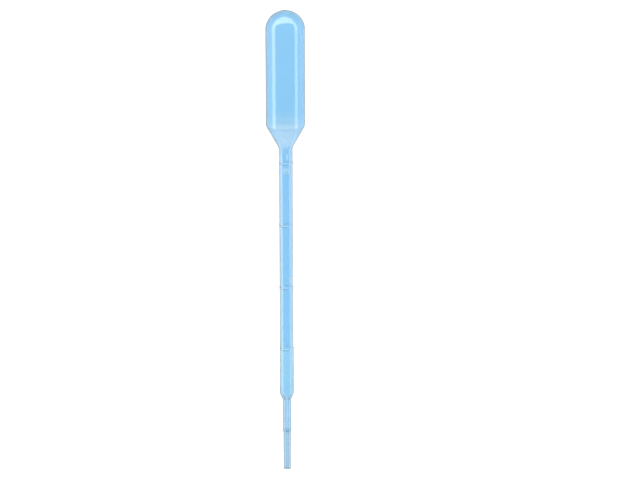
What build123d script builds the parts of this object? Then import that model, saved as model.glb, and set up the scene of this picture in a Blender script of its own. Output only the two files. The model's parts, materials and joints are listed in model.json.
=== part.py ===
from build123d import *
import os
from math import asin, atan, atan2, cos, hypot, pi, radians, sin, tan

# A blow-moulded dropper pipette, lying on a bench as it comes to rest: on the edge of its bulb's
# shoulder and on the round where its stem starts, or on its mouth if that is lower. The bulb
# points towards +Y, the open tip towards -Y, and the graduated side is up. Lengths are in
# millimetres and angles in degrees. A station is a distance along the pipette from its open tip.

# bulb
overall_length = 155.0
bulb_diameter = 12.7
bulb_length = 37.9  # barrel and dome together
knuckle_radius = 4.1  # where the barrel turns in to the dome
knuckle_turn = 17.5  # before the round crown takes over
bulb_wall = 0.42

# shoulder, from the bulb down to the stem
shoulder_length = 7.5
shoulder_rounding = 0.5  # at the bulb
neck_rounding = 1.8  # at the stem

# stem, which takes the length that the other sections leave
stem_bore = 3.9
stem_wall = 0.25

# foot of the stem, a little wider than the rest, from the taper up to the first graduation
foot_extra = 0.2  # on the diameter
foot_slope = 0.7  # length over which the stem draws in to its own width
foot_rounding = 0.3

# fine tube below the stem, and the nozzle on its end
taper_length = 2.1
taper_rounding = 0.8
tube_length = 10.9
tube_diameter = 2.68
step_length = 0.25
step_rounding = 0.2
nozzle_length = 13.1
nozzle_diameter = 2.38  # at the step
mouth_diameter = 2.16  # at the open end
mouth_rounding = 0.12
tip_wall = 0.6  # of the tube and the nozzle, which the mould stretches least

# graduations: raised bars on both halves of the mould, each from the parting line past the middle
division_volume = 250.0  # a quarter of a millilitre, in cubic millimetres
mark_width = 0.45
mark_height = 0.18
mark_reach = 105.0  # about the stem, from the parting line
mark_margin = 2.0  # free length of stem above the last mark

# parting line of the two halves of the mould
parting_angle = 90.0  # about the pipette, from the top towards +X
parting_width = 0.2
parting_height = 0.05

# flat spot where the soft edge of the bulb lies on the bench
rest_depth = 0.05

# stations where each section of the pipette begins
step_start = nozzle_length
tube_start = step_start + step_length
taper_start = tube_start + tube_length
stem_start = taper_start + taper_length
bulb_start = overall_length - bulb_length
shoulder_start = bulb_start - shoulder_length
stem_radius = stem_bore / 2 + stem_wall
foot_bore = stem_bore + foot_extra
foot_radius = foot_bore / 2 + stem_wall

# the dome: a knuckle on the barrel and a crown centred on the long axis, tangent to each other
knuckle_centre = bulb_diameter / 2 - knuckle_radius
crown_radius = knuckle_radius + knuckle_centre / cos(radians(knuckle_turn))
crown_centre = overall_length - crown_radius
dome_start = crown_centre + knuckle_centre * tan(radians(knuckle_turn))


def cone_volume(diameter, other_diameter, length):
    """The volume inside a straight or tapered bore between its two diameters."""
    return pi * length * (diameter**2 + diameter * other_diameter + other_diameter**2) / 12


# marks at equal divisions of the volume, counted from the mouth, as many as the stem has room for
mouth_bore = mouth_diameter - 2 * tip_wall
nozzle_bore = nozzle_diameter - 2 * tip_wall
tube_bore = tube_diameter - 2 * tip_wall
tip_volume = (
    cone_volume(mouth_bore, nozzle_bore, nozzle_length)
    + cone_volume(nozzle_bore, tube_bore, step_length)
    + cone_volume(tube_bore, tube_bore, tube_length)
    + cone_volume(tube_bore, foot_bore, taper_length)
)
first_mark = stem_start + (division_volume - tip_volume) / (pi * foot_bore**2 / 4)
mark_pitch = division_volume / (pi * stem_bore**2 / 4)
last_place = shoulder_start - mark_margin
mark_count = int((last_place - first_mark) / mark_pitch) + 1
mark_stations = [first_mark + n * mark_pitch for n in range(mark_count)]
bead_radius = ((mark_width / 2) ** 2 + mark_height**2) / (2 * mark_height)


def half_section(plane, bulb_inset, stem_inset, tip_inset):
    """Half a lengthways section on the plane, out to the moulded surface less the insets. A
    rounding that bulges shrinks with its inset, and a hollow one grows with it."""
    bulb = bulb_diameter / 2 - bulb_inset
    stem = stem_radius - stem_inset
    foot = foot_radius - stem_inset
    tube = tube_diameter / 2 - tip_inset
    nozzle = nozzle_diameter / 2 - tip_inset
    mouth = mouth_diameter / 2 - tip_inset
    with BuildSketch(plane) as half:
        with BuildLine():
            FilletPolyline(
                (0, 0),
                (mouth, 0),
                (nozzle, step_start),
                (tube, tube_start),
                (tube, taper_start),
                (foot, stem_start),
                (foot, first_mark - foot_slope / 2),
                (stem, first_mark + foot_slope / 2),
                (stem, shoulder_start),
                (bulb, bulb_start),
                (bulb, dome_start),
                radius=(
                    max(mouth_rounding - tip_inset, 0),
                    step_rounding + tip_inset,
                    max(step_rounding - tip_inset, 0),
                    taper_rounding + tip_inset,
                    taper_rounding - stem_inset,
                    max(foot_rounding - stem_inset, 0),
                    foot_rounding + stem_inset,
                    neck_rounding + stem_inset,
                    max(shoulder_rounding - bulb_inset, 0),
                ),
            )
            CenterArc((knuckle_centre, dome_start), knuckle_radius - bulb_inset, 0, knuckle_turn)
            crown_turn = 90 - knuckle_turn
            CenterArc((0, crown_centre), crown_radius - bulb_inset, knuckle_turn, crown_turn)
            Line((0, overall_length - bulb_inset), (0, 0))
        make_face()
    return half.sketch


# how it lies: the bench flattens the round of the shoulder's edge by the depth of the flat spot,
# and touches the round of the mouth's edge, or the round where the stem starts if that is lower
shoulder_slope = atan((bulb_diameter / 2 - stem_radius) / shoulder_length)
edge_station = bulb_start + shoulder_rounding * tan(shoulder_slope / 2)
edge_radius = bulb_diameter / 2 - shoulder_rounding
edge_height = shoulder_rounding - rest_depth
taper_slope = atan((foot_radius - tube_diameter / 2) / taper_length)
stem_end_station = stem_start + taper_rounding * tan(taper_slope / 2)
stem_end_radius = foot_radius - taper_rounding
mouth_radius = mouth_diameter / 2 - mouth_rounding


def lean_onto(radius, station, rounding):
    """The lean that brings a round edge, centred at this radius and station, down to the bench."""
    run = edge_station - station
    rise = edge_radius - radius
    return atan2(rise, run) + asin((edge_height - rounding) / hypot(rise, run))


lean = min(
    lean_onto(mouth_radius, mouth_rounding, mouth_rounding),
    lean_onto(stem_end_radius, stem_end_station, taper_rounding),
)
along = Vector(0, cos(lean), sin(lean))

# the middle of the mouth, set so that the origin is on the bench under the middle of the length
mouth_end = mouth_rounding * cos(lean) - mouth_radius * sin(lean) - mouth_rounding
dome_end = crown_centre * cos(lean) + crown_radius
mouth_height = edge_height + edge_radius * cos(lean) - edge_station * sin(lean)
mouth_centre = Vector(0, -(mouth_end + dome_end) / 2, mouth_height)
long_axis = Axis(mouth_centre, along)


def section_at(angle):
    """The plane through the long axis whose x runs outwards at this angle from the top."""
    turn = radians(angle)
    outwards = Vector(sin(turn), -cos(turn) * sin(lean), cos(turn) * cos(lean))
    return Plane(origin=mouth_centre, x_dir=outwards, z_dir=outwards.cross(along))


with BuildPart() as pipette:
    revolve(half_section(section_at(0), 0, 0, 0), axis=long_axis)

    for half_start in (parting_angle - 180, parting_angle):
        # the parting line: a thin plate just larger than the outline, whose rim stands proud
        proud = -parting_height
        plate = half_section(section_at(half_start), proud, proud, proud)
        extrude(plate, amount=parting_width / 2, both=True)

        # the graduations of this half: rounded beads, swept about the stem
        with BuildSketch(section_at(half_start)):
            with Locations(*[(stem_radius + mark_height - bead_radius, s) for s in mark_stations]):
                Circle(bead_radius)
        revolve(axis=long_axis, revolution_arc=mark_reach)

    # the inside, open at the mouth
    inside = half_section(section_at(0), bulb_wall, stem_wall, tip_wall)
    revolve(inside, axis=long_axis, mode=Mode.SUBTRACT)

    # the flat spot: everything of the bulb's edge that would reach below the bench
    edge_place = mouth_centre + along * edge_station
    with Locations((0, edge_place.Y, 0)):
        Box(
            bulb_diameter,
            shoulder_length,
            bulb_diameter,
            align=(Align.CENTER, Align.CENTER, Align.MAX),
            mode=Mode.SUBTRACT,
        )

pipette.part.label = "pipette"

os.makedirs("parts", exist_ok=True)
export_step(pipette.part, "parts/pipette.step")

print("marks at", [round(s, 2) for s in mark_stations], "from the mouth")
print("lean", round(lean * 180 / pi, 3), "degrees")
print("volume of plastic", round(pipette.part.volume, 1), "cubic millimetres")
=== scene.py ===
import json
import math

import bmesh
import bpy
from mathutils import Matrix, Vector
from mathutils.bvhtree import BVHTree


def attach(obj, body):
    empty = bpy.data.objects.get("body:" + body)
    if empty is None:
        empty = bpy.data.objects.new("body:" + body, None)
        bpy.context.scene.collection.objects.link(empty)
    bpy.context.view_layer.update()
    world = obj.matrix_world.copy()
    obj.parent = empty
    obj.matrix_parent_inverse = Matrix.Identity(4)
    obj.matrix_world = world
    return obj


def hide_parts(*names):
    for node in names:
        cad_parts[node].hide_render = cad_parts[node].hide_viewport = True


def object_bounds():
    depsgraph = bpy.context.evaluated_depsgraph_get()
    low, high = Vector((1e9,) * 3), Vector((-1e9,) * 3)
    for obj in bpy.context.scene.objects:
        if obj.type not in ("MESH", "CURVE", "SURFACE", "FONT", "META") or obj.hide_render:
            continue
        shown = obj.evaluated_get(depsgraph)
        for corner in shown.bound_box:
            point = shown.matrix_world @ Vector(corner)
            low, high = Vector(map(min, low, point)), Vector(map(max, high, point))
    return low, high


# A blow-moulded plastic dropper pipette, lying on a white bench with its graduations up.
# Sizes in the dictionaries are in millimetres and angles in degrees. A station is a distance
# along the pipette from its open tip, and an angle about it is from the top towards +X.

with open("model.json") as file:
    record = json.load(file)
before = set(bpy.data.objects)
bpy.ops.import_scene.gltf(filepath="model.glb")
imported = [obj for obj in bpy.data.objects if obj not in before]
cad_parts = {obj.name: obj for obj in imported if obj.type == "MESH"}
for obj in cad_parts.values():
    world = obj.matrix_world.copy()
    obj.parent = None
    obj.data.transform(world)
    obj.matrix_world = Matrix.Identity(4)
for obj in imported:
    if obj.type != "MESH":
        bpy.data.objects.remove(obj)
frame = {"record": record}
cadLow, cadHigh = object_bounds()

mm = 0.001  # the scene is in metres


def hexColour(text):
    # an sRGB hex value as the linear colour, with full alpha, that a shader wants
    def linear(byte):
        c = byte / 255
        return c / 12.92 if c <= 0.04045 else ((c + 0.055) / 1.055) ** 2.4

    return tuple(linear(int(text[i:i + 2], 16)) for i in (1, 3, 5)) + (1.0,)


def addNode(tree, kind, settings=None, inputs=None):
    # one node, with its own settings, and for each input a value or the socket that it is linked to
    node = tree.nodes.new(kind)
    for name, value in (settings or {}).items():
        setattr(node, name, value)
    for name, value in (inputs or {}).items():
        if isinstance(value, bpy.types.NodeSocket):
            tree.links.new(value, node.inputs[name])
        else:
            node.inputs[name].default_value = value
    return node


def newMaterial(name):
    material = bpy.data.materials.new(name)
    material.use_nodes = True
    material.node_tree.nodes.clear()
    return material, material.node_tree


def newObject(name, data):
    thing = bpy.data.objects.new(name, data)
    bpy.context.scene.collection.objects.link(thing)
    return thing


body = {
    "length": 155.0,
    "bulbRadius": 6.35,
    "bulbLength": 37.9,
    "knuckleRadius": 4.1,  # where the barrel turns in to the dome
    "knuckleTurn": 17.5,
    "bulbWall": 0.42,
    "shoulderLength": 7.5,
    "shoulderRounding": 0.5,
    "neckRounding": 1.8,
    "stemRadius": 2.2,
    "stemWall": 0.25,
    "footRadius": 2.3,  # of the stem below its first graduation
    "footSlope": 0.7,
    "footRounding": 0.3,
    "taperLength": 2.1,
    "taperRounding": 0.8,
    "tubeLength": 10.9,
    "tubeRadius": 1.34,
    "stepLength": 0.25,
    "stepRounding": 0.2,
    "nozzleLength": 13.1,
    "nozzleRadius": 1.19,
    "mouthRadius": 1.08,
    "mouthRounding": 0.12,
    "tipWall": 0.6,
    "ridgeHeight": 0.05,  # the parting line of the two halves of the mould
    "ridgeHalfWidth": 0.1,
    "clearance": 0.002,  # under the flat spot where the soft edge of the bulb lies on the bench
    "segments": 192,  # around
    "roundingSteps": 6,
    "domeSteps": 22,
    "sharpAngle": 40.0,  # past which an edge isn't shaded smooth
    "mergeDistance": 0.0005,
    "cutTolerance": 0.00001,  # within which a cut keeps to a point that is there already
}

marks = {
    "stations": (41.90, 62.83, 83.76, 104.68),  # a quarter of a millilitre of the bore apart
    "width": 0.45,
    "height": 0.18,
    "reach": 105.0,  # from each parting line
    "endFade": 6.0,  # over which a mark's end sinks into the wall
    "steps": 8,  # across
    "crease": 0.2,  # width of the fold under each mark, which has painted shade, darkest in its middle
    "creaseFrom": 25.0,  # from the parting line to where the painted highlight and fold shade of a mark start to show, and to where they are strongest
    "creaseFull": 55.0,  # and to where it is deepest
}

# stations where the sections begin
tubeStart = body["nozzleLength"] + body["stepLength"]
taperStart = tubeStart + body["tubeLength"]
stemStart = taperStart + body["taperLength"]
bulbStart = body["length"] - body["bulbLength"]
shoulderStart = bulbStart - body["shoulderLength"]
knuckleX = body["bulbRadius"] - body["knuckleRadius"]
knuckleTurn = math.radians(body["knuckleTurn"])
crownRadius = body["knuckleRadius"] + knuckleX / math.cos(knuckleTurn)
crownStation = body["length"] - crownRadius
domeStart = crownStation + knuckleX * math.tan(knuckleTurn)
stemBoreRadius = body["stemRadius"] - body["stemWall"]

# how it lies: its axis is the bulb mount's, and its dome reaches the far face of the CAD's box
mounts = {mount["name"]: mount for mount in frame["record"]["mounts"]}
along = Vector(mounts["bulb"]["axis"]).normalized()
onAxis = Vector(mounts["bulb"]["pos_m"])
crownY = cadHigh.y - (crownRadius + body["ridgeHeight"]) * mm
crown = onAxis + along * ((crownY - onAxis.y) / along.y)
mouth = crown - along * crownStation * mm
sideways = Vector((1, 0, 0))
downwards = along.cross(sideways)
place = Matrix((sideways * mm, downwards * mm, along * mm)).transposed().to_4x4()
place.translation = mouth


def corners(bulbInset, stemInset, tipInset):
    # the section's corners from the mouth to the start of the dome: radius, station, rounding
    bulb = body["bulbRadius"] - bulbInset
    stem = body["stemRadius"] - stemInset
    foot = body["footRadius"] - stemInset
    tube = body["tubeRadius"] - tipInset
    footEnd = marks["stations"][0]
    return [
        (body["mouthRadius"] - tipInset, 0, max(body["mouthRounding"] - tipInset, 0)),
        (body["nozzleRadius"] - tipInset, body["nozzleLength"], body["stepRounding"] + tipInset),
        (tube, tubeStart, max(body["stepRounding"] - tipInset, 0)),
        (tube, taperStart, body["taperRounding"] + tipInset),
        (foot, stemStart, body["taperRounding"] - stemInset),
        (foot, footEnd - body["footSlope"] / 2, body["footRounding"] - stemInset),
        (stem, footEnd + body["footSlope"] / 2, body["footRounding"] + stemInset),
        (stem, shoulderStart, body["neckRounding"] + stemInset),
        (bulb, bulbStart, body["shoulderRounding"] - bulbInset),
        (bulb, domeStart, 0),
    ]


def swingDome(mesh, point):
    # from the top of the barrel: the knuckle's arc, and then the crown's to the pole
    knuckle = bmesh.ops.spin(
        mesh, geom=[point], cent=(knuckleX, 0, domeStart), axis=(0, -1, 0),
        angle=knuckleTurn, steps=body["roundingSteps"])
    last = knuckle["geom_last"]
    top = bmesh.ops.spin(
        mesh, geom=last, cent=(0, 0, crownStation), axis=(0, -1, 0),
        angle=math.pi / 2 - knuckleTurn, steps=body["domeSteps"])
    top["geom_last"][0].co.x = 0


def blowWall():
    # inner and outer wall as one line, down the inside and up the outside, spun all the way round
    mesh = bmesh.new()
    inside = corners(body["bulbWall"], body["stemWall"], body["tipWall"])
    outside = corners(0, 0, 0)
    line = inside[::-1] + outside
    points = [mesh.verts.new((radius, 0, station)) for radius, station, rounding in line]
    for first, second in zip(points, points[1:]):
        mesh.edges.new((first, second))
    swingDome(mesh, points[0])
    swingDome(mesh, points[-1])
    for number in range(1, len(line) - 1):
        rounding = line[number][2]
        if rounding > 0:
            before, here, after = (Vector((p[0], 0, p[1])) for p in line[number - 1:number + 2])
            bend = (here - before).angle(after - here)
            bmesh.ops.bevel(
                mesh, geom=[points[number]], offset=rounding * math.tan(bend / 2),
                segments=body["roundingSteps"], profile=0.5, affect="VERTICES", material=-1)
    bmesh.ops.spin(
        mesh, geom=mesh.verts[:] + mesh.edges[:], cent=(0, 0, 0), axis=(0, 0, 1),
        angle=2 * math.pi, steps=body["segments"], use_merge=True)
    bmesh.ops.remove_doubles(mesh, verts=mesh.verts, dist=body["mergeDistance"])
    bmesh.ops.recalc_face_normals(mesh, faces=mesh.faces)
    return mesh


def facesOutwards(face):
    # whether the face looks away from the long axis, or up at the dome's pole
    middle = face.calc_center_median()
    return face.normal.xy.dot(middle.xy) > 0 or (middle.z > domeStart and face.normal.z > 0)


def onOuterWall(point):
    # whether a point of the stem is on its outer wall and not on its bore
    return point.xy.length > (body["stemRadius"] + stemBoreRadius) / 2


def cutFaces(mesh, faces, point, normal):
    # splits these faces along a plane
    edges = list({edge for face in faces for edge in face.edges})
    verts = list({vert for face in faces for vert in face.verts})
    bmesh.ops.bisect_plane(
        mesh, geom=verts + edges + faces, dist=body["cutTolerance"],
        plane_co=point, plane_no=normal)


def cutRings(mesh, stations):
    # splits the stem's outer wall round the stem at these stations
    for station in stations:
        faces = [
            face for face in mesh.faces
            if min(vert.co.z for vert in face.verts) < station
            and max(vert.co.z for vert in face.verts) > station
            and onOuterWall(face.calc_center_median())
        ]
        cutFaces(mesh, faces, (0, 0, station), (0, 0, 1))


def angleFromTop(point):
    return math.degrees(math.atan2(point.x, -point.y))


def share(value, none, full):
    # how far a value is from where nothing shows to where all of it does
    return min(max((value - none) / (full - none), 0), 1)


def lift(vert, rise):
    # moves a point of the wall straight away from the long axis
    radius = vert.co.xy.length
    vert.co.xy = vert.co.xy * (radius + rise) / radius


def raiseMarks(mesh):
    # each mark is a rounded bead on both halves of the mould, from the parting line past the
    # middle, with a painted highlight on its half towards the bulb and painted shade in a fold on
    # its side towards the tip
    half = marks["width"] / 2
    tiny = half / 1000  # tells the rings on a bead's edges from those between them
    beadRadius = (half**2 + marks["height"]**2) / (2 * marks["height"])
    widest = math.asin(half / beadRadius)
    beadCentre = body["stemRadius"] + marks["height"] - beadRadius
    turns = [widest * (2 * step / marks["steps"] - 1) for step in range(marks["steps"] + 1)]
    paintedShading = mesh.verts.layers.float["paintedShading"]
    rises = []
    for mark in marks["stations"]:
        folds = [mark - half - marks["crease"] * step for step in (0.5, 1, 1.5)]
        bead = [mark + beadRadius * math.sin(turn) for turn in turns]
        cutRings(mesh, folds + bead + [mark + half + marks["crease"] / 2])
        for vert in mesh.verts:
            away = vert.co.z - mark
            if abs(away) > marks["width"] or not onOuterWall(vert.co):
                continue
            turn = (angleFromTop(vert.co) + 90) % 180  # from the parting line behind it
            kept = share(turn, marks["reach"], marks["reach"] - marks["endFade"])
            if abs(away) < half - tiny:
                rise = beadCentre + math.sqrt(beadRadius**2 - away**2) - vert.co.xy.length
                rises.append((vert, max(rise, 0) * math.sqrt(kept)))
            # painted highlight on the half of the bead towards the bulb, and painted shade in the
            # fold below it
            paintedHighlight = away / half if 0 < away < half + tiny else 0
            fold = max(1 - abs(away + half + marks["crease"] / 2) / marks["crease"], 0)
            shown = kept * share(turn, marks["creaseFrom"], marks["creaseFull"])
            vert[paintedShading] = shown * (paintedHighlight - fold)
    for vert, rise in rises:
        lift(vert, rise)


lettering = {
    "rise": 0.07,
    "grid": 0.06,  # how finely the wall is divided under a word
    "blend": 0.05,  # over which a letter's edge rises
    "crease": 0.2,  # how far out of a letter's edge its fold of painted shade reaches
    "creaseShade": 0.25,  # strength of the painted shade in that fold, where the folds of the marks have 1
    # bolder and narrower say how the letters differ from the font, mark is the number of the mark
    # that the word stands by, counted from 0, and away and angle are its middle from there
    "words": (
        {"text": "1", "bolder": 0.06, "narrower": 0.9, "height": 2.3,
         "mark": 3, "away": 2.4, "angle": 5.5},
        {"text": "ml", "bolder": 0.035, "narrower": 0.6, "height": 2.9,
         "mark": 3, "away": -1.95, "angle": 5.5},
        {"text": "0.5", "bolder": 0.04, "narrower": 0.55, "height": 2.2,
         "mark": 1, "away": 2.97, "angle": 40.0},
    ),
}


def flatWord(word):
    # the word as a flat mesh that a ray can hit, centred, and half its width
    font = bpy.data.curves.new("word", "FONT")
    font.body = word["text"]
    font.fill_mode = "BOTH"
    font.offset = word["bolder"]
    carrier = bpy.data.objects.new("word", font)
    flat = bpy.data.meshes.new_from_object(carrier)
    mesh = bmesh.new()
    mesh.from_mesh(flat)
    bpy.data.objects.remove(carrier)
    bpy.data.meshes.remove(flat)
    bpy.data.curves.remove(font)
    across = [vert.co.x for vert in mesh.verts]
    up = [vert.co.y for vert in mesh.verts]
    middle = Vector(((min(across) + max(across)) / 2, (min(up) + max(up)) / 2, 0))
    size = word["height"] / (max(up) - min(up))
    width = size * word["narrower"]
    bmesh.ops.translate(mesh, verts=mesh.verts, vec=-middle)
    bmesh.ops.scale(mesh, verts=mesh.verts, vec=(width, size, size))
    return mesh, (max(across) - min(across)) * width / 2


def covered(tree, across, up, spread):
    # how much of a word lies within this distance of a place, from rays cast down on it
    places = [
        Vector((across + aside, up + over, 1))
        for aside in (-spread, 0, spread) for over in (-spread, 0, spread)
    ]
    hits = [tree.ray_cast(spot, Vector((0, 0, -1)))[0] for spot in places]
    return sum(hit is not None for hit in hits) / len(hits)


def raiseWords(mesh):
    # the letters stand proud of the stem, with edges as soft as blow-moulding leaves them, a
    # painted highlight on them and painted shade in the folds round them
    paintedShading = mesh.verts.layers.float["paintedShading"]
    margin = lettering["grid"] / 2
    for word in lettering["words"]:
        flat, halfWidth = flatWord(word)
        tree = BVHTree.FromBMesh(flat)
        flat.free()
        middle = marks["stations"][word["mark"]] + word["away"]
        half = word["height"] / 2 + lettering["crease"]
        cutRings(mesh, [middle - half, middle + half])
        uncut = [
            edge for edge in mesh.edges
            if abs(edge.verts[0].co.z - edge.verts[1].co.z) > half
            and all(abs(vert.co.z - middle) < half + margin for vert in edge.verts)
            and onOuterWall(edge.verts[0].co)
        ]
        bmesh.ops.subdivide_edges(
            mesh, edges=uncut, cuts=round(2 * half / lettering["grid"]), use_grid_fill=True)
        for vert in mesh.verts:
            up = vert.co.z - middle
            across = math.radians(angleFromTop(vert.co) - word["angle"]) * body["stemRadius"]
            if (abs(up) > half - margin or abs(across) > halfWidth + lettering["crease"]
                    or not onOuterWall(vert.co)):
                continue
            raised = covered(tree, across, up, lettering["blend"])
            if raised > 0:
                # painted highlight on the raised letter
                vert[paintedShading] = raised
                lift(vert, lettering["rise"] * raised)
            elif covered(tree, across, up, lettering["crease"]) > 0:
                # painted shade in the fold round it
                vert[paintedShading] = -lettering["creaseShade"]


def raiseRidge(mesh):
    # the parting line stands proud all round the outline, in the plane through both sides
    half = body["ridgeHalfWidth"]
    for offset in (-half, -half / 2, half / 2, half):
        outer = [face for face in mesh.faces if facesOutwards(face)]
        cutFaces(mesh, outer, (0, offset, 0), (0, 1, 0))
    mesh.normal_update()
    outer = [face for face in mesh.faces if facesOutwards(face)]
    band = {vert for face in outer for vert in face.verts if abs(vert.co.y) < half}
    for vert, normal in [(vert, vert.normal.copy()) for vert in band]:
        vert.co += normal * body["ridgeHeight"] * (1 - (vert.co.y / half)**2)


def makePipette():
    mesh = blowWall()
    mesh.verts.layers.float.new("paintedShading")  # painted light: up to 1 of painted highlight where the wall is raised, down to -1 of painted shade in the folds
    print("wall blown:", len(mesh.faces), "faces")
    raiseMarks(mesh)
    print("marks raised:", len(mesh.faces), "faces")
    raiseWords(mesh)
    print("words raised:", len(mesh.faces), "faces")
    raiseRidge(mesh)
    print("parting line raised:", len(mesh.faces), "faces")
    mesh.transform(place)
    for vert in mesh.verts:
        vert.co.z = max(vert.co.z, body["clearance"] * mm)
    data = bpy.data.meshes.new("pipetteBody")
    mesh.to_mesh(data)
    mesh.free()
    data.shade_smooth()
    data.set_sharp_from_angle(angle=math.radians(body["sharpAngle"]))
    return newObject("pipetteBody", data)


ldpe = {
    # the colour of one wall along the pipette, from a station on, with painted shade and painted
    # highlights at the mouth, the step and the shoulder
    "tintsAndPaintedLight": (
        (0.0, "#A9C3D2"),  # edge of the mouth, painted shade
        (0.5, "#C8E1F0"),  # nozzle
        (12.9, "#C8E1F0"),
        (13.1, "#9FBFD4"),  # painted shade on the step
        (13.3, "#9FBFD4"),
        (13.5, "#D4ECFA"),  # painted highlight above the step, then the tube
        (13.8, "#C8E4F5"),
        (24.2, "#C8E4F5"),
        (26.6, "#C2EBFF"),  # foot of the stem
        (41.0, "#C2EBFF"),
        (42.0, "#B9E5FE"),  # stem
        (109.3, "#B9E5FE"),
        (111.0, "#D6EFFF"),  # shoulder, paler with a painted reflection
        (116.7, "#D6EFFF"),
        (116.9, "#C9E3F4"),  # its edge: a line of painted shade, then a line of painted highlight
        (117.1, "#FCFFFF"),
        (117.3, "#FCFFFF"),
        # a paler band of painted light where the bulb starts
        (117.5, "#DAF4FF"),
        (118.6, "#D4F1FF"),
        (119.6, "#BDE8FF"),  # bulb
        (155.0, "#BDE8FF"),
    ),
    # and its colour at a glance: painted shade along the outline, greyer than the wall, and darker
    # at the tip and the dome
    "paintedRimShade": (
        (0.0, "#829FB2"),
        (12.9, "#829FB2"),
        (13.4, "#8CABC0"),
        (24.2, "#8CABC0"),
        (26.6, "#C6E5F8"),
        (41.0, "#DAEAF7"),
        (109.3, "#DAEAF7"),
        (111.0, "#D2ECFE"),
        (117.3, "#BCE6FF"),
        (148.0, "#BCE6FF"),
        (155.0, "#A7D6F0"),
    ),
    "raised": "#FFFFFF",  # painted highlight on the letters and on the halves of the marks towards the bulb
    "paintedFoldShade": "#8BA3B1",  # painted shade in the folds beside them
    "rimFrom": 0.1,  # from 0 straight on to 1 at a glance, where the painted outline shade and the haze start to change,
    "rimTo": 0.45,  # and where they have changed
    "roughness": 0.25,  # of the wall seen straight on, which scatters what lies behind it
    "rimRoughness": 0.08,
    "ior": 1.35,  # below the plastic's own, because so thin a wall bends little light
    "coatRoughness": 0.1,
    "coatIor": 2.35,  # high, for clear white reflections of soft boxes that aren't glaring
    "tipCoat": 0.1,  # weight of the coat below the taper, where the plastic is dull
    "streak": 0.35,  # between the lines that the die draws along the tube
    "streakLength": 30.0,
    "streakHeight": 0.004,
    "ripple": 2.2,  # between the shallow ripples of the blown wall
    "rippleHeight": 0.006,
}


def ldpeMaterial():
    # low-density polyethylene, blow-moulded: a waxy wall, clear enough to see the bench through,
    # tinted blue and paler at the tip and foot, with painted shade and highlights at the mouth,
    # step, shoulder, marks and letters and along the outline, a shine that ends at a dull tip,
    # faint lines along it and shallow ripples
    material, tree = newMaterial("blowMouldedLdpe")
    where = addNode(tree, "ShaderNodeTexCoord")
    # turned into the pipette's own millimetres, with Z as the station
    turned = addNode(tree, "ShaderNodeMapping", {"vector_type": "TEXTURE"}, {
        "Vector": where.outputs["Object"], "Location": place.translation,
        "Rotation": place.to_euler(), "Scale": (mm, mm, mm)})
    parts = addNode(tree, "ShaderNodeSeparateXYZ", inputs={"Vector": turned.outputs[0]})
    station = addNode(tree, "ShaderNodeMath", {"operation": "DIVIDE"}, {
        0: parts.outputs["Z"], 1: body["length"]})

    ramps = {}
    for name in ("tintsAndPaintedLight", "paintedRimShade"):
        ramps[name] = addNode(tree, "ShaderNodeValToRGB", inputs={"Fac": station.outputs[0]})
        stops = ramps[name].color_ramp.elements
        while len(stops) < len(ldpe[name]):
            stops.new(1)
        for stop, (start, colour) in zip(stops, ldpe[name]):
            stop.position = start / body["length"]
            stop.color = hexColour(colour)

    glance = addNode(tree, "ShaderNodeLayerWeight", inputs={"Blend": 0.5})
    rim = addNode(tree, "ShaderNodeMapRange", {"interpolation_type": "SMOOTHSTEP"}, {
        "Value": glance.outputs["Facing"], "From Min": ldpe["rimFrom"], "From Max": ldpe["rimTo"]})
    # inputs 6 and 7 and output 2 of a Mix are its colours
    # painted shade along the outline: the rim colours mixed in at a glance
    colour = addNode(tree, "ShaderNodeMix", {"data_type": "RGBA"}, {
        0: rim.outputs[0], 6: ramps["tintsAndPaintedLight"].outputs[0], 7: ramps["paintedRimShade"].outputs[0]})
    paintedShading = addNode(tree, "ShaderNodeAttribute", {"attribute_name": "paintedShading"})
    # painted highlight where the wall is raised, and painted shade in the folds beside it
    for name, full in (("raised", 1.0), ("paintedFoldShade", -1.0)):
        amount = addNode(tree, "ShaderNodeMapRange", inputs={
            "Value": paintedShading.outputs["Fac"], "From Min": 0.0, "From Max": full})
        colour = addNode(tree, "ShaderNodeMix", {"data_type": "RGBA"}, {
            0: amount.outputs[0], 6: colour.outputs[2], 7: hexColour(ldpe[name])})
    haze = addNode(tree, "ShaderNodeMapRange", inputs={
        "Value": rim.outputs[0], "To Min": ldpe["roughness"], "To Max": ldpe["rimRoughness"]})
    coat = addNode(tree, "ShaderNodeMapRange", inputs={
        "Value": parts.outputs["Z"], "From Min": taperStart, "From Max": stemStart,
        "To Min": ldpe["tipCoat"], "To Max": 1.0})

    streaks = addNode(tree, "ShaderNodeMapping", inputs={
        "Vector": turned.outputs[0],
        "Scale": (1 / ldpe["streak"], 1 / ldpe["streak"], 1 / ldpe["streakLength"])})
    lines = addNode(tree, "ShaderNodeTexNoise", inputs={
        "Vector": streaks.outputs[0], "Scale": 1.0, "Detail": 2.0})
    ripples = addNode(tree, "ShaderNodeTexNoise", inputs={
        "Vector": turned.outputs[0], "Scale": 1 / ldpe["ripple"], "Detail": 1.0})
    bump = addNode(tree, "ShaderNodeBump", inputs={
        "Strength": 1.0, "Distance": ldpe["streakHeight"] * mm, "Height": lines.outputs[0]})
    bump = addNode(tree, "ShaderNodeBump", inputs={
        "Strength": 1.0, "Distance": ldpe["rippleHeight"] * mm, "Height": ripples.outputs[0],
        "Normal": bump.outputs[0]})

    shader = addNode(tree, "ShaderNodeBsdfPrincipled", inputs={
        "Base Color": colour.outputs[2],
        "Roughness": haze.outputs[0],
        "IOR": ldpe["ior"],
        "Transmission Weight": 1.0,
        "Coat Weight": coat.outputs[0],
        "Coat Roughness": ldpe["coatRoughness"],
        "Coat IOR": ldpe["coatIor"],
        "Normal": bump.outputs[0],
    })
    addNode(tree, "ShaderNodeOutputMaterial", inputs={"Surface": shader.outputs[0]})
    return material


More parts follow.
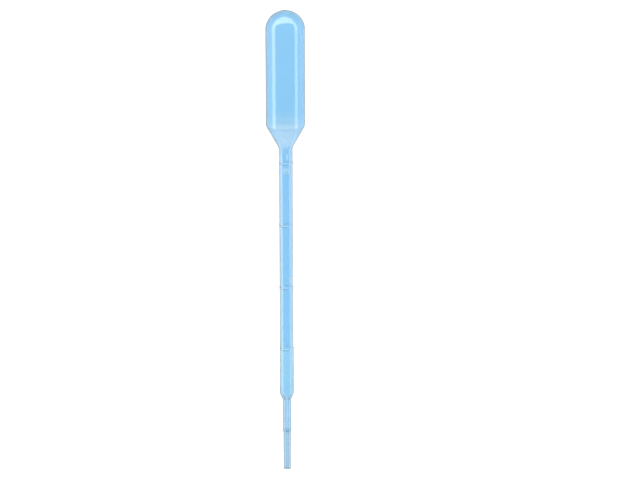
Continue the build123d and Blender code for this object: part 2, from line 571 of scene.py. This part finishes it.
pipette = makePipette()
pipette.data.materials.append(ldpeMaterial())
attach(pipette, "root")
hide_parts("pipette")
print("pipette made:", len(pipette.data.polygons), "faces")

bench = {
    "size": 20.0,  # metres
    "colour": "#C2C2C2",
    "glow": 1.0,  # to the eye and through the plastic, where 1 is white
    "glossShare": 0.144,  # of that glow in reflections
}


def makeBench():
    # matt white laminate, wiped clean: even, with no gloss or pattern of its own to show
    mesh = bmesh.new()
    bmesh.ops.create_grid(mesh, x_segments=1, y_segments=1, size=bench["size"] / 2)
    data = bpy.data.meshes.new("bench")
    mesh.to_mesh(data)
    mesh.free()
    floor = newObject("bench", data)
    material, tree = newMaterial("mattWhiteLaminate")
    paint = addNode(tree, "ShaderNodeBsdfDiffuse", inputs={"Color": hexColour(bench["colour"])})
    path = addNode(tree, "ShaderNodeLightPath")
    gloss = addNode(tree, "ShaderNodeMath", {"operation": "MULTIPLY"}, {
        0: path.outputs["Is Glossy Ray"], 1: bench["glossShare"]})
    seen = addNode(tree, "ShaderNodeMath", {"operation": "MAXIMUM"}, {
        0: path.outputs["Is Camera Ray"], 1: path.outputs["Is Transmission Ray"]})
    seen = addNode(tree, "ShaderNodeMath", {"operation": "MAXIMUM"}, {
        0: seen.outputs[0], 1: gloss.outputs[0]})
    strength = addNode(tree, "ShaderNodeMath", {"operation": "MULTIPLY"}, {
        0: seen.outputs[0], 1: bench["glow"]})
    glow = addNode(tree, "ShaderNodeEmission", inputs={"Strength": strength.outputs[0]})
    both = addNode(tree, "ShaderNodeAddShader", inputs={0: paint.outputs[0], 1: glow.outputs[0]})
    addNode(tree, "ShaderNodeOutputMaterial", inputs={"Surface": both.outputs[0]})
    data.materials.append(material)
    print("bench laid")


# brightness is 1 where it is white, and a height is the sine of an elevation
tent = {
    "backdrop": 1.0,  # as the eye sees it, and through the plastic
    "horizon": 0.29,
    "zenith": 0.23,
    "horizonHeight": 0.05,  # up to which it is as bright as at the horizon,
    "zenithHeight": 0.6,  # and from which it is as bright as overhead
    # the ring of soft boxes round the bench: the way to each in X and Y, the heights of its lower
    # and upper edges, and its brightness
    "boxes": {
        "left": {"way": (-1, 0), "lower": 0.0, "upper": 0.41, "brightness": 1.66},
        "right": {"way": (1, 0), "lower": 0.28, "upper": 0.60, "brightness": 1.37},
        "head": {"way": (0, 1), "lower": 0.0, "upper": 0.67, "brightness": 1.76},
        "foot": {"way": (0, -1), "lower": 0.10, "upper": 0.45, "brightness": 0.37},
    },
    "softness": 0.03,  # of their edges
    # light runs round and round inside the clear wall of the tip before it gets out
    "bounces": 24,
    "glossyBounces": 16,
}


def makeTent():
    # a dim studio tent with a ring of soft boxes, which the eye sees as a white backdrop
    world = bpy.data.worlds.new("tent")
    bpy.context.scene.world = world
    world.use_nodes = True
    tree = world.node_tree
    tree.nodes.clear()
    where = addNode(tree, "ShaderNodeTexCoord")
    parts = addNode(tree, "ShaderNodeSeparateXYZ", inputs={"Vector": where.outputs["Generated"]})

    # 0 below the lower or upper edges of the boxes, which are straight, and 1 above all four
    above = {}
    for edge in ("lower", "upper"):
        nearest = 1.0
        for box in tent["boxes"].values():
            eastward, northward = box["way"]
            slope = box[edge]
            over = addNode(tree, "ShaderNodeVectorMath", {"operation": "DOT_PRODUCT"}, {
                0: where.outputs["Generated"],
                1: (-eastward * slope, -northward * slope, math.sqrt(1 - slope**2))})
            nearest = addNode(tree, "ShaderNodeMath", {"operation": "MINIMUM"}, {
                0: nearest, 1: over.outputs["Value"]}).outputs[0]
        above[edge] = addNode(tree, "ShaderNodeMapRange", {"interpolation_type": "SMOOTHSTEP"}, {
            "Value": nearest, "From Min": -tent["softness"], "From Max": tent["softness"]})
    inRing = addNode(tree, "ShaderNodeMath", {"operation": "SUBTRACT"}, {
        0: above["lower"].outputs[0], 1: above["upper"].outputs[0]})

    # the ring's brightness, which is each box's own in its direction and blends between them
    boxes = [tent["boxes"][side] for side in ("left", "right", "head", "foot")]
    left, right, head, foot = (box["brightness"] for box in boxes)
    flat = addNode(tree, "ShaderNodeCombineXYZ", inputs={
        "X": parts.outputs["X"], "Y": parts.outputs["Y"]})
    towards = addNode(tree, "ShaderNodeVectorMath", {"operation": "NORMALIZE"}, {
        0: flat.outputs[0]})
    squared = addNode(tree, "ShaderNodeVectorMath", {"operation": "MULTIPLY"}, {
        0: towards.outputs[0], 1: towards.outputs[0]})
    means = addNode(tree, "ShaderNodeVectorMath", {"operation": "DOT_PRODUCT"}, {
        0: squared.outputs[0], 1: ((left + right) / 2, (head + foot) / 2, 0)})
    leanings = addNode(tree, "ShaderNodeVectorMath", {"operation": "DOT_PRODUCT"}, {
        0: towards.outputs[0], 1: ((right - left) / 2, (head - foot) / 2, 0)})
    ring = addNode(tree, "ShaderNodeMath", {"operation": "ADD"}, {
        0: means.outputs["Value"], 1: leanings.outputs["Value"]})

    plain = addNode(tree, "ShaderNodeMapRange", {"interpolation_type": "SMOOTHSTEP"}, {
        "Value": parts.outputs["Z"],
        "From Min": tent["horizonHeight"], "From Max": tent["zenithHeight"],
        "To Min": tent["horizon"], "To Max": tent["zenith"]})
    light = addNode(tree, "ShaderNodeMix", inputs={
        "Factor": inRing.outputs[0], "A": plain.outputs[0], "B": ring.outputs[0]})
    path = addNode(tree, "ShaderNodeLightPath")
    seen = addNode(tree, "ShaderNodeMath", {"operation": "MAXIMUM"}, {
        0: path.outputs["Is Camera Ray"], 1: path.outputs["Is Transmission Ray"]})
    strength = addNode(tree, "ShaderNodeMix", inputs={
        "Factor": seen.outputs[0], "A": light.outputs[0], "B": tent["backdrop"]})
    sky = addNode(tree, "ShaderNodeBackground", inputs={
        "Color": hexColour("#FFFFFF"), "Strength": strength.outputs[0]})
    addNode(tree, "ShaderNodeOutputWorld", inputs={"Surface": sky.outputs[0]})
    print("tent lit")


shot = {
    "tilt": 14.5,  # of the view from square-on, towards the bulb
    "turn": -5.0,  # about the pipette
    "roll": 0.17,
    "distance": 1000.0,
    "station": 75.378,  # of the middle of the view, before it is moved aside
    "aside": 8.12,
    "lens": 176.46,
    "sensor": 36.0,
    "near": 10.0,
    "far": 50000.0,
}


def makeCamera():
    turn, tilt, roll = (math.radians(shot[name]) for name in ("turn", "tilt", "roll"))
    outwards = sideways * math.sin(turn) - downwards * math.cos(turn)
    back = outwards * math.cos(tilt) + along * math.sin(tilt)
    right = along.cross(outwards)
    up = back.cross(right)
    rolledRight = right * math.cos(roll) - up * math.sin(roll)
    rolledUp = up * math.cos(roll) + right * math.sin(roll)
    spot = along * shot["station"] + back * shot["distance"] + rolledRight * shot["aside"]
    data = bpy.data.cameras.new("camera")
    data.lens = shot["lens"]
    data.sensor_width = shot["sensor"]
    data.clip_start = shot["near"] * mm
    data.clip_end = shot["far"] * mm
    camera = newObject("camera", data)
    camera.matrix_world = Matrix((rolledRight, rolledUp, back)).transposed().to_4x4()
    camera.matrix_world.translation = mouth + spot * mm
    bpy.context.scene.camera = camera
    print("camera set")


makeBench()
makeTent()
makeCamera()
bpy.context.scene.view_settings.view_transform = "Standard"
bpy.context.scene.cycles.max_bounces = tent["bounces"]
bpy.context.scene.cycles.transmission_bounces = tent["bounces"]
bpy.context.scene.cycles.glossy_bounces = tent["glossyBounces"]
